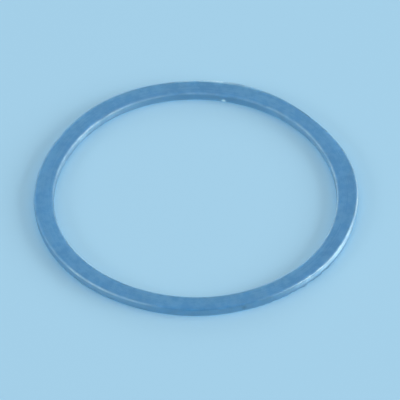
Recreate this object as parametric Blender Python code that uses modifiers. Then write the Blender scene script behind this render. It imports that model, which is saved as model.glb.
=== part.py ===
"""Plastic washer: a large, thin, flat ring moulded in milky natural plastic, lying on its face.

Metres, +Z up. The origin is on the ring's axis, in the plane of its lower face.
"""

from math import radians

import bpy

# Driving dimensions, in metres
HOLE_DIAMETER = 0.0526  # what the ring slips over
RING_WIDTH = 0.0037  # from the hole's wall to the outside wall
THICKNESS = 0.0018  # from the lower face to the upper face
EDGE_RADIUS = 0.00035  # round on the four edges of the section

# How finely the round shapes are divided
RING_STEPS = 144  # round the ring
EDGE_STEPS = 3  # across each rounded edge
SHARPEST_SMOOTH_EDGE = radians(40)  # the section's square corners are sharper, so they are rounded

# Finish of the plastic, seen without light behind it
PLASTIC_COLOUR = (0.60, 0.76, 0.84, 1.0)
PLASTIC_ROUGHNESS = 0.38
PLASTIC_METALLIC = 0.0


def clear_scene():
    """Remove every object that the file opened with."""
    for thing in list(bpy.data.objects):
        bpy.data.objects.remove(thing, do_unlink=True)


def parts_collection(name):
    """Make the collection that holds the object's parts."""
    collection = bpy.data.collections.new(name)
    bpy.context.scene.collection.children.link(collection)
    return collection


def milky_plastic():
    """Natural moulded plastic, satin and uncoloured apart from a faint cool cast."""
    material = bpy.data.materials.new("milky_plastic")
    material.use_nodes = True
    material.diffuse_color = PLASTIC_COLOUR
    shader = material.node_tree.nodes["Principled BSDF"]
    shader.inputs["Base Color"].default_value = PLASTIC_COLOUR
    shader.inputs["Roughness"].default_value = PLASTIC_ROUGHNESS
    shader.inputs["Metallic"].default_value = PLASTIC_METALLIC
    return material


def square_section(name):
    """Outline of the ring's section with square corners, at +X, running down its outer side."""
    inner = HOLE_DIAMETER / 2
    outer = inner + RING_WIDTH
    corners = [(inner, 0, THICKNESS), (outer, 0, THICKNESS), (outer, 0, 0), (inner, 0, 0)]
    sides = [(start, (start + 1) % len(corners)) for start in range(len(corners))]
    mesh = bpy.data.meshes.new(name)
    mesh.from_pydata(corners, sides, [])
    return mesh


def turn_section(ring):
    """Turn the section once round the ring's axis."""
    turn = ring.modifiers.new("turned section", "SCREW")
    turn.axis = "Z"
    turn.steps = RING_STEPS
    turn.render_steps = RING_STEPS
    turn.use_merge_vertices = True
    turn.merge_threshold = THICKNESS / 100  # only the two ends of the turn lie this near each other
    turn.use_smooth_shade = True


def round_edges(ring):
    """Round the four edges that run round the ring, as far as the section leaves room."""
    edges = ring.modifiers.new("rounded edges", "BEVEL")
    edges.limit_method = "ANGLE"
    edges.angle_limit = SHARPEST_SMOOTH_EDGE
    edges.width = EDGE_RADIUS
    edges.segments = EDGE_STEPS
    edges.use_clamp_overlap = True
    edges.harden_normals = True


def washer(collection):
    """The whole ring, one moulded piece."""
    ring = bpy.data.objects.new("washer", square_section("washer"))
    ring.data.materials.append(milky_plastic())
    collection.objects.link(ring)
    turn_section(ring)
    round_edges(ring)
    return ring


clear_scene()
washer(parts_collection("plastic_washer"))
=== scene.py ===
from math import cos, degrees, exp, hypot, radians, sin, tau

import bpy
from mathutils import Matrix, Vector, noise


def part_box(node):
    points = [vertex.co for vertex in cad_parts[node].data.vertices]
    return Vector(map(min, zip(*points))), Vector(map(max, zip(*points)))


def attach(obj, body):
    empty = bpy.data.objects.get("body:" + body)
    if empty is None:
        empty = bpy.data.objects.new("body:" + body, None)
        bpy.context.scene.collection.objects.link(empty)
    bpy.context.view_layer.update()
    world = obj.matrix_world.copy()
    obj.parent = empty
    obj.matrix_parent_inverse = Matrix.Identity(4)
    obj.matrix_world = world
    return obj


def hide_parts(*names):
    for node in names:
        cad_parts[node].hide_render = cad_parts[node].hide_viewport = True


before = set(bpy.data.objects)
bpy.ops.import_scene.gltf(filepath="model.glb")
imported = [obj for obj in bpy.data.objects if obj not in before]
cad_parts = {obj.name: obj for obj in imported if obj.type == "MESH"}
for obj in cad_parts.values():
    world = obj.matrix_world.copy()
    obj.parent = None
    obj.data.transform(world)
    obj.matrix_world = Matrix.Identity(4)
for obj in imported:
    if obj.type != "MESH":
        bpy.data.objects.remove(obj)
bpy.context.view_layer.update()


# The washer is one thin flat ring of natural milky plastic, which lets most of the light through.
# It lies on its lower face. The four edges of its section are softly rounded, both its walls carry
# the mould's fine parting line, and a quick hand trim has left some torn flash and a small nub.
MM = 0.001
low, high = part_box("washer")
thickness = high.z - low.z
outside_radius = (high.x - low.x) / 2
hole_radius = min(hypot(point.co.x, point.co.y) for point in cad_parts["washer"].data.vertices)

RIM_INSET = 0.38 * MM  # leaves room inside the ring's true outside diameter for its waves and flash
HOLE_INSET = 0.22 * MM
plain_rim = outside_radius - RIM_INSET
plain_hole = hole_radius - HOLE_INSET
section_width = plain_rim - plain_hole

EDGE_RADIUS = 0.42 * MM
RING_STEPS = 1200
EDGE_STEPS = 8
FACE_STEPS = 8
WALL_STEPS = 12
SINK = 0.02 * MM  # how far the middle of each face sank as the plastic cooled

# Fine ridges that the joint of the mould left round both walls, and their levels
PARTING_WIDTH = 0.06 * MM
RIM_PARTING_HEIGHT, RIM_PARTING_LEVEL = 0.03 * MM, 0.9 * MM
HOLE_PARTING_HEIGHT, HOLE_PARTING_LEVEL = 0.05 * MM, 0.42 * MM

# The ring isn't quite round, and its hole is a little off the middle: how many waves go round the
# rim and the hole, how high they are in millimetres, and where one of them has its crest, in degrees
# round the ring from +X towards +Y
RIM_WAVES = [
    (1, 0.08, 84),
    (2, 0.11, 18),
    (3, 0.17, 98),
    (4, 0.08, 2),
    (5, 0.06, 68),
    (6, 0.07, 11),
    (7, 0.07, 18),
]
HOLE_WAVES = [(1, 0.08, 263), (3, 0.12, 84), (4, 0.06, 30), (5, 0.05, 49)]

# Torn flash on the two outer edges: where it starts and ends and how long it takes to fade, in
# degrees round the ring, and which way it faces, in degrees up or down from level
FLASH_START, FLASH_END, FLASH_FADE = 284, 342, 12
FLASH_HEIGHT = 0.20 * MM
FLASH_FACING, FLASH_WIDTH = 35, 24
FLASH_LEAST = 0.35  # the share of it that stands between its teeth
TEETH, FINE_TEETH, FINE_SHARE = 750, 2600, 0.5  # torn teeth in a metre of rim
LOWER_TEETH_START = 7  # keeps the teeth of the lower edge unlike the upper ones

# A thicker stretch of rim that the trimming knife left standing, cut off short at one end
LEDGE_START, LEDGE_CREST, LEDGE_END = 71.5, 73.0, 96.0
LEDGE_HEIGHT = 0.10 * MM
LEDGE_FACING, LEDGE_WIDTH = 20, 45  # degrees up from level, round the section

# The nub where the ring was broken from its feed, low on the wall of the hole
NUB_TURN = 78.5
NUB_LENGTH, NUB_TALL, NUB_PROUD = 0.26 * MM, 0.20 * MM, 0.17 * MM
NUB_LEVEL = 0.42 * MM

QUARTER = 90  # degrees in a quarter turn
FLAT = (QUARTER, -QUARTER, -3 * QUARTER)  # the ways that the points of the two faces face


def rise(value, start, end):
    """0 before start, 1 after end, and a smooth step between."""
    share = min(max((value - start) / (end - start), 0), 1)
    return share * share * (3 - 2 * share)


def stretch(value, start, full, fading, end):
    """1 from full to fading, 0 before start and after end, and smooth steps between."""
    return rise(value, start, full) * rise(-value, -end, -fading)


def bell(distance, width):
    """1 at no distance, falling away on both sides over about that width."""
    return exp(-((distance / width) ** 2))


def between(start, end, steps):
    """Evenly spaced values on the way from start to end, without the two ends."""
    return [start + (end - start) * step / steps for step in range(1, steps)]


def section_points():
    """The section's outline from its upper outer edge down and round.

    Each point is its distance across from the hole's wall, its height, and the way it faces in degrees.
    """
    near, far = EDGE_RADIUS, section_width - EDGE_RADIUS
    bottom, top = EDGE_RADIUS, thickness - EDGE_RADIUS
    corners = [(far, top, QUARTER), (far, bottom, 0), (near, bottom, -QUARTER), (near, top, -2 * QUARTER)]
    points = []
    for place, (across, height, start) in enumerate(corners):
        for step in range(EDGE_STEPS + 1):
            facing = start - QUARTER * step / EDGE_STEPS
            out, up = cos(radians(facing)), sin(radians(facing))
            points.append((across + EDGE_RADIUS * out, height + EDGE_RADIUS * up, facing))
        facing = start - QUARTER
        out, up = EDGE_RADIUS * cos(radians(facing)), EDGE_RADIUS * sin(radians(facing))
        next_across, next_height, _ = corners[(place + 1) % len(corners)]
        steps = WALL_STEPS if place % 2 == 0 else FACE_STEPS
        spots = zip(between(across, next_across, steps), between(height, next_height, steps))
        points += [(spot + out, level + up, facing) for spot, level in spots]
    return points


def teeth(turn, start):
    """How far the flash was torn off there: 0 to the edge, 1 not at all."""
    along = outside_radius * turn
    coarse = noise.noise((along * TEETH, start, 0))
    torn = coarse + FINE_SHARE * noise.noise((along * FINE_TEETH, start, 1))
    return min(max(FLASH_LEAST + torn, 0), 1)


def rim_faults(turn, height, facing):
    """How far the plastic stands proud on the outer wall and its two edges."""
    angle = degrees(turn)
    flash = stretch(angle, FLASH_START, FLASH_START + FLASH_FADE, FLASH_END - FLASH_FADE, FLASH_END)
    upper = teeth(turn, 0) * bell(facing - FLASH_FACING, FLASH_WIDTH)
    lower = teeth(turn, LOWER_TEETH_START) * bell(facing + FLASH_FACING, FLASH_WIDTH)
    ledge = stretch(angle, LEDGE_START, LEDGE_CREST, LEDGE_CREST, LEDGE_END)
    proud = RIM_PARTING_HEIGHT * bell(height - RIM_PARTING_LEVEL, PARTING_WIDTH)
    proud += FLASH_HEIGHT * flash * max(upper, lower)
    return proud + LEDGE_HEIGHT * ledge * bell(facing - LEDGE_FACING, LEDGE_WIDTH)


def hole_faults(turn, height):
    """How far the plastic stands proud on the wall of the hole and its two edges."""
    beside = (degrees(turn) - NUB_TURN) * radians(1) * hole_radius
    proud = HOLE_PARTING_HEIGHT * bell(height - HOLE_PARTING_LEVEL, PARTING_WIDTH)
    return proud + NUB_PROUD * bell(beside, NUB_LENGTH) * bell(height - NUB_LEVEL, NUB_TALL)


def faults(turn, across, height, facing):
    """How far the plastic stands proud of the plain section there."""
    if facing in FLAT:
        share = (across - EDGE_RADIUS) / (section_width - 2 * EDGE_RADIUS)
        return -SINK * 4 * share * (1 - share)  # the 4 makes it the full sink halfway across
    if facing > -QUARTER:
        return rim_faults(turn, height, facing)
    return hole_faults(turn, height)


def out_of_round(turn, waves):
    """How far those waves move the ring outwards there."""
    return sum(size * MM * cos(count * (turn - radians(crest))) for count, size, crest in waves)


def washer_mesh():
    """Carry the section once round the ring, with the small faults of a moulded and trimmed part."""
    section = section_points()
    points, faces = [], []
    for step in range(RING_STEPS):
        turn = tau * step / RING_STEPS
        rim_wave, hole_wave = out_of_round(turn, RIM_WAVES), out_of_round(turn, HOLE_WAVES)
        for across, height, facing in section:
            proud = faults(turn, across, height, facing)
            wave = hole_wave + (rim_wave - hole_wave) * across / section_width
            radius = plain_hole + across + wave + proud * cos(radians(facing))
            level = low.z + height + proud * sin(radians(facing))
            points.append((radius * cos(turn), radius * sin(turn), min(max(level, low.z), high.z)))
    around = len(section)
    for step in range(RING_STEPS):
        here, after = step * around, (step + 1) % RING_STEPS * around
        for place in range(around):
            beside = (place + 1) % around
            faces.append((here + place, here + beside, after + beside, after + place))
    mesh = bpy.data.meshes.new("washer_ring")
    mesh.from_pydata(points, [], faces)
    mesh.shade_smooth()
    return mesh


NOISE_MIDDLE = 0.5  # what a noise texture gives on average
MIX_SHARE, MIX_FIRST, MIX_SECOND, MIXED = 0, 6, 7, 2  # the sockets of a Mix node set to colours


class Socket:
    """One output of a shader node. Sums on it add Math nodes, and node() adds any other node."""

    def __init__(self, tree, output=None):
        self.tree = tree
        self.output = output

    def node(self, kind, settings=None, inputs=None, output=0):
        """Add a node, set it up, fill or link its sockets, and return one of its outputs."""
        made = self.tree.nodes.new(kind)
        for name, setting in (settings or {}).items():
            setattr(made, name, setting)
        for name, value in (inputs or {}).items():
            if isinstance(value, Socket):
                self.tree.links.new(value.output, made.inputs[name])
            else:
                made.inputs[name].default_value = value
        return Socket(self.tree, made.outputs[output]) if made.outputs else None

    def maths(self, operation, *values):
        return self.node("ShaderNodeMath", {"operation": operation}, dict(enumerate(values)))

    def mixed(self, share, first, second):
        """The colour that far from the first colour to the second."""
        sockets = {MIX_SHARE: share, MIX_FIRST: first, MIX_SECOND: second}
        return self.node("ShaderNodeMix", {"data_type": "RGBA"}, sockets, MIXED)

    def part(self, axis):
        """The X, Y or Z of a vector."""
        return self.node("ShaderNodeSeparateXYZ", {}, {"Vector": self}, axis)

    def share(self):
        """This value, kept from 0 to 1."""
        return self.node("ShaderNodeClamp", {}, {"Value": self, "Min": 0.0, "Max": 1.0})

    def mottle(self, scale, detail=2.0):
        """Soft noise at this place."""
        sockets = {"Vector": self, "Scale": scale, "Detail": detail}
        return self.node("ShaderNodeTexNoise", {}, sockets, "Fac")

    def stronger(self, contrast, middle):
        """This noise as a share, with that contrast and that average."""
        return ((self - NOISE_MIDDLE) * contrast + middle).share()

    def near(self, spot, reach):
        """1 where this place is that spot, falling evenly to 0 at that distance from it."""
        away = self.node("ShaderNodeVectorMath", {"operation": "DISTANCE"}, {0: self, 1: spot}, "Value")
        return (1 - away * (1 / reach)).share()

    def __add__(self, other):
        return self.maths("ADD", self, other)

    def __radd__(self, other):
        return self.maths("ADD", other, self)

    def __sub__(self, other):
        return self.maths("SUBTRACT", self, other)

    def __rsub__(self, other):
        return self.maths("SUBTRACT", other, self)

    def __mul__(self, other):
        return self.maths("MULTIPLY", self, other)

    def __rmul__(self, other):
        return self.maths("MULTIPLY", other, self)

    def __pow__(self, other):
        return self.maths("POWER", self, other)

    def __rpow__(self, other):
        return self.maths("POWER", other, self)


# The see-through plastic, in its clear and its cloudier patches, and deeper and darker on the walls:
# partly the tint seen through the ring's width, partly painted shade
CLEAR_COLOUR = (0.27, 0.55, 0.695, 1.0)
CLOUDY_COLOUR = (0.46, 0.72, 0.83, 1.0)
DEEP_AND_SHADED_COLOUR = (0.16, 0.36, 0.495, 1.0)
CLEAR_ROUGHNESS, ROUGHNESS_RANGE = 0.85, 0.2
REFRACTION = 1.51
CLOUDS, CLOUD_DETAIL = 780.0, 4.0  # clouds in a metre, and the levels of finer noise in them
CLOUDINESS = 0.5  # how cloudy it is on average
CLOUD_CONTRAST, DRAG_CONTRAST, GRAIN_CONTRAST = 4.2, 2.6, 2.6

# The milk in it: a little on the faces and more on the walls. The white on the upper edges and on the nub
# is painted highlight
MILK_COLOUR = (0.34, 0.60, 0.765, 1.0)
# The colour of the painted highlights: on the upper edges, the nub, the bright spots and the strip
PAINTED_HIGHLIGHT_COLOUR = (0.58, 0.82, 0.93, 1.0)
MILK_ROUGHNESS = 0.5
# The share on the upper edges paints a highlight line along them
FACE_MILK, WALL_MILK, EDGE_HIGHLIGHT = 0.10, 0.22, 0.38
CLOUD_MILK = 0.24
# A painted highlight: a white spot round the nub
NUB_HIGHLIGHT, NUB_HIGHLIGHT_REACH = 2.0, 0.6 * MM

# Painted highlights on the sides: degrees round the ring, how far the painted light reaches from there,
# and how strong it is on the edges and on the wall. The first lie on the rim and the others in the hole.
# Less than 0 paints shade on those edges instead, which dims their bright line. The painted light leaves
# the foot of both walls: above the lower face it starts at the first height below and is full from the
# second up.
PAINTED_LIGHT_RIM = [
    (329, 16 * MM, 0.95, 1.3),
    (2, 11 * MM, 0.6, 0.4),
    (237, 11 * MM, 0.3, 0.2),
    (275, 14 * MM, -0.5, 0.0),
]
PAINTED_LIGHT_HOLE = [(145, 19 * MM, 0.3, 0.65), (32, 17 * MM, 0.3, 0.5), (224, 17 * MM, 0.55, 0.2)]
PAINTED_LIGHT_FROM, PAINTED_LIGHT_FULL = 0.35 * MM, 0.85 * MM
LEAST_PAINTED_LIGHT = 0.5  # the share of the white that is left between the scuffs

# A painted highlight: a pale strip along the upper edge of the rim beside the ledge
STRIP_TURN, STRIP_REACH, STRIP_HIGHLIGHT = 84, 13 * MM, 0.9
STRIP_WIDTH, STRIP_FADE = 0.55 * MM, 0.25 * MM

# Its moulded skin: satin on the faces and glossier on the edges, with drag marks and a fine grain
SKIN_ROUGHNESS = 0.42
FACE_SHINE = 0.3
SCUFFS, SCUFF_DETAIL = 420.0, 3.0  # scuffs in a metre, and the levels of finer noise in them
SCUFF_CONTRAST, SCUFF_LEVEL = 3.4, 0.5
NICKS = 2600.0  # fine nicks in a metre, which break up the bright lines
NICK_CONTRAST, NICK_LEVEL = 6.0, 0.6
DRAG_ACROSS, DRAG_ALONG = 4200.0, 90.0  # drag marks in a metre across the ring and along it
GRAIN = 9000.0  # grains in a metre
DRAG_SHARE = 0.6  # of the skin's relief, the rest being grain
BUMP_STRENGTH = 0.25
BUMP_DEPTH = 0.02 * MM

# A dark fleck moulded into the rim near the front
FLECK_COLOUR = (0.04, 0.09, 0.11, 1.0)
FLECK_TURN, FLECK_LEVEL, FLECK_REACH = -72.6, 0.90 * MM, 0.70 * MM
FLECK_DARKNESS = 0.75


def spot_on_ring(turn, radius, height):
    """The point at that many degrees round the ring, that far out and that high."""
    return (radius * cos(radians(turn)), radius * sin(radians(turn)), low.z + height)


def painted_light_spots(place, edge, wall, spots, radius):
    """How much painted highlight the spots at that radius put on the plastic there, or painted shade
    where a strength is below 0.
    """
    whites = []
    for turn, reach, edge_white, wall_white in spots:
        nearness = place.near(spot_on_ring(turn, radius, thickness / 2), reach)
        whites.append(nearness * (edge * edge_white + wall * wall_white))
    return sum(whites)


def drag_marks(x, y, z, radius):
    """Noise drawn out into fine streaks that run round the ring."""
    drawn = {"X": radius * DRAG_ACROSS, "Y": x * DRAG_ALONG, "Z": y * DRAG_ALONG}
    drawn_place = x.node("ShaderNodeCombineXYZ", {}, drawn)
    sockets = {"Vector": drawn_place, "W": z * DRAG_ACROSS, "Scale": 1.0}
    return x.node("ShaderNodeTexNoise", {"noise_dimensions": "4D"}, sockets, "Fac")


def milky_plastic():
    """Natural moulded plastic: see-through but milky and satin, with painted highlights on its upper
    edges, nub and sides, and walls darkened partly by painted shade.
    """
    material = bpy.data.materials.new("milky_plastic")
    material.use_nodes = True
    material.node_tree.nodes.clear()
    start = Socket(material.node_tree)
    place = start.node("ShaderNodeTexCoord", output="Object")
    upright = start.node("ShaderNodeTexCoord", output="Normal").part("Z") ** 2
    wall = (1 - upright) ** 2
    edge = upright * (1 - upright) * 4  # 1 in the middle of a rounded edge

    x, y, z = place.part("X"), place.part("Y"), place.part("Z")
    radius = (x * x + y * y) ** 0.5
    drag = drag_marks(x, y, z, radius)
    grain = place.mottle(GRAIN)
    clouds = place.mottle(CLOUDS, CLOUD_DETAIL) - NOISE_MIDDLE
    nicks = place.mottle(NICKS).stronger(NICK_CONTRAST, NICK_LEVEL)
    scuffs = place.mottle(SCUFFS, SCUFF_DETAIL).stronger(SCUFF_CONTRAST, SCUFF_LEVEL) * nicks
    upper = ((z - low.z - PAINTED_LIGHT_FROM) * (1 / (PAINTED_LIGHT_FULL - PAINTED_LIGHT_FROM))).share()
    # Painted highlight round the nub
    nub_highlight = place.near(spot_on_ring(NUB_TURN, plain_hole, NUB_LEVEL), NUB_HIGHLIGHT_REACH)
    fleck = place.near(spot_on_ring(FLECK_TURN, plain_rim, FLECK_LEVEL), FLECK_REACH) * FLECK_DARKNESS
    # Painted highlights on the rim and on the hole's wall, and painted shade on the edges where a
    # strength is below 0
    painted_light = painted_light_spots(place, edge, wall, PAINTED_LIGHT_RIM, plain_rim)
    painted_light = (painted_light + painted_light_spots(place, edge, wall, PAINTED_LIGHT_HOLE, plain_hole)) * upper
    # Painted highlight: the strip along the rim's upper edge
    highlight_strip = ((radius - plain_rim + STRIP_WIDTH) * (1 / STRIP_FADE)).share()
    highlight_strip = highlight_strip * place.near(spot_on_ring(STRIP_TURN, plain_rim, thickness), STRIP_REACH)
    painted_light = (painted_light + highlight_strip * STRIP_HIGHLIGHT) * (scuffs * (1 - LEAST_PAINTED_LIGHT) + LEAST_PAINTED_LIGHT)

    streaks = (drag - NOISE_MIDDLE) * DRAG_CONTRAST + (grain - NOISE_MIDDLE) * GRAIN_CONTRAST
    cloudy = (clouds * CLOUD_CONTRAST + streaks + CLOUDINESS).share()
    clear_colour = start.mixed(cloudy, CLEAR_COLOUR, CLOUDY_COLOUR)
    # Deeper on the walls: partly the tint seen through the ring's width, partly painted shade
    clear_colour = start.mixed(wall, clear_colour, DEEP_AND_SHADED_COLOUR)
    clear_colour = start.mixed(fleck, clear_colour, FLECK_COLOUR)
    milk_and_highlight = upright * upright * FACE_MILK + wall * WALL_MILK + clouds * CLOUD_MILK
    # Painted highlight: the white on the upper edges, the nub, the spots and the strip; below 0, painted
    # shade
    milk_and_highlight = milk_and_highlight + edge * upper * scuffs * EDGE_HIGHLIGHT + nub_highlight * NUB_HIGHLIGHT + painted_light
    milk_and_highlight_colour = start.mixed((edge + nub_highlight + painted_light).share(), MILK_COLOUR, PAINTED_HIGHLIGHT_COLOUR)
    milk_and_highlight_colour = start.mixed(fleck, milk_and_highlight_colour, FLECK_COLOUR)

    relief = drag * DRAG_SHARE + grain * (1 - DRAG_SHARE)
    bump = {"Height": relief, "Strength": BUMP_STRENGTH, "Distance": BUMP_DEPTH}
    skin = {
        "Coat Weight": FACE_SHINE + edge * scuffs * (1 - FACE_SHINE),
        "Coat Roughness": SKIN_ROUGHNESS,
        "Normal": start.node("ShaderNodeBump", {}, bump),
    }
    clear_body = {
        "Base Color": clear_colour,
        "Roughness": (drag - NOISE_MIDDLE) * ROUGHNESS_RANGE + CLEAR_ROUGHNESS,
        "IOR": REFRACTION,
        "Transmission Weight": 1.0,
    }
    milk_body = {"Base Color": milk_and_highlight_colour, "Roughness": MILK_ROUGHNESS}
    clear = start.node("ShaderNodeBsdfPrincipled", {}, clear_body | skin)
    milk = start.node("ShaderNodeBsdfPrincipled", {}, milk_body | skin)
    plastic = start.node("ShaderNodeMixShader", {}, {0: milk_and_highlight.share(), 1: clear, 2: milk})
    start.node("ShaderNodeOutputMaterial", {}, {"Surface": plastic})
    return material


washer = bpy.data.objects.new("washer_ring", washer_mesh())
bpy.context.scene.collection.objects.link(washer)
washer.data.materials.append(milky_plastic())
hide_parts("washer")
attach(washer, "root")


# The floor is a plain pale sheet, matt and the same all over. The ring lies on it, a hair clear
# of it so that the two never share a face, and nothing holds it down.
FLOOR_COLOUR = (0.43, 0.70, 0.87, 1.0)
FLOOR_ROUGHNESS = 0.9
FLOOR_GLOSS = 0.1
FLOOR_SIZE = 12.0
FLOOR_GAP = 0.02 * MM

bpy.ops.mesh.primitive_plane_add(size=FLOOR_SIZE, location=(0, 0, low.z - FLOOR_GAP))
sheet = bpy.context.object
sheet.name = "floor"
paper = bpy.data.materials.new("floor_paper")
paper.use_nodes = True
paper_shader = paper.node_tree.nodes["Principled BSDF"].inputs
paper_shader["Base Color"].default_value = FLOOR_COLOUR
paper_shader["Roughness"].default_value = FLOOR_ROUGHNESS
paper_shader["Specular IOR Level"].default_value = FLOOR_GLOSS
sheet.data.materials.append(paper)


# Plain soft studio light. The main soft box stands low on the right and whitens the rim there and
# the hole's wall across from it. Weaker ones stand low on the left and behind, and a wide one
# hangs overhead. The room adds an even light.
LAMP_COLOUR = (0.91, 0.96, 1.0)


def soft_box(name, azimuth, elevation, distance, width, height, power):
    """A soft box at that bearing, aimed at the ring. Azimuth runs in degrees from +X towards +Y."""
    light = bpy.data.lights.new(name, "AREA")
    light.shape = "RECTANGLE"
    light.size = width
    light.size_y = height
    light.energy = power
    light.color = LAMP_COLOUR
    lamp = bpy.data.objects.new(name, light)
    turn, lift = radians(azimuth), radians(elevation)
    bearing = Vector((cos(turn) * cos(lift), sin(turn) * cos(lift), sin(lift)))
    lamp.location = bearing * distance
    lamp.rotation_euler = bearing.to_track_quat("Z", "Y").to_euler()
    lamp.visible_camera = False
    bpy.context.scene.collection.objects.link(lamp)


soft_box("main_box", azimuth=350, elevation=20, distance=2.4, width=2.4, height=1.05, power=43)
soft_box("side_box", azimuth=199, elevation=22, distance=2.4, width=1.2, height=0.6, power=10)
soft_box("back_box", azimuth=84, elevation=18, distance=3.0, width=2.4, height=0.9, power=14)
soft_box("top_box", azimuth=100, elevation=80, distance=3.0, width=2.7, height=2.7, power=8)

ROOM_COLOUR = (0.92, 0.96, 1.0, 1.0)
ROOM_LEVEL = 0.54
# What the camera, the reflections and the plastic see beyond the floor
BACKDROP_COLOUR = (0.42, 0.69, 0.86, 1.0)
BACKDROP_LEVEL = 1.0

world = bpy.data.worlds.new("studio")
world.use_nodes = True
world.node_tree.nodes.clear()
sky = Socket(world.node_tree)
seen = sky.node("ShaderNodeLightPath", output="Is Camera Ray")
for ray in ("Is Glossy Ray", "Is Transmission Ray"):
    seen = seen.maths("MAXIMUM", seen, sky.node("ShaderNodeLightPath", output=ray))
room = sky.node("ShaderNodeBackground", {}, {"Color": ROOM_COLOUR, "Strength": ROOM_LEVEL})
backdrop = sky.node("ShaderNodeBackground", {}, {"Color": BACKDROP_COLOUR, "Strength": BACKDROP_LEVEL})
both = sky.node("ShaderNodeMixShader", {}, {0: seen, 1: room, 2: backdrop})
sky.node("ShaderNodeOutputWorld", {}, {"Surface": both})
bpy.context.scene.world = world


# The camera stands well back with a long lens and looks down at the ring as the photograph does.
PICTURE = 400
SENSOR = 36.0
TILT = radians(45.8)
RING_CENTRE = (195.7, 193.1)  # where the middle of the upper face falls in the picture
RING_RADIUS_PX = 163.1  # half the ring's width in the picture
DISTANCE_PX = 5560  # the camera's distance, in the picture's pixels at the ring
NEAR, FAR = 0.05, 20.0

pixel = outside_radius / RING_RADIUS_PX
across = Vector((1, 0, 0))
up = Vector((0, sin(TILT), cos(TILT)))
back = Vector((0, -cos(TILT), sin(TILT)))
aim = Vector((0, 0, high.z))
aim -= across * (RING_CENTRE[0] - PICTURE / 2) * pixel
aim += up * (RING_CENTRE[1] - PICTURE / 2) * pixel
lens = bpy.data.cameras.new("camera")
lens.sensor_width = SENSOR
lens.lens = SENSOR * DISTANCE_PX / PICTURE
lens.clip_start = NEAR
lens.clip_end = FAR
camera = bpy.data.objects.new("camera", lens)
camera.location = aim + back * DISTANCE_PX * pixel
camera.rotation_euler = back.to_track_quat("Z", "Y").to_euler()
bpy.context.scene.collection.objects.link(camera)
bpy.context.scene.camera = camera

bpy.context.scene.view_settings.view_transform = "Standard"

bpy.context.view_layer.update()
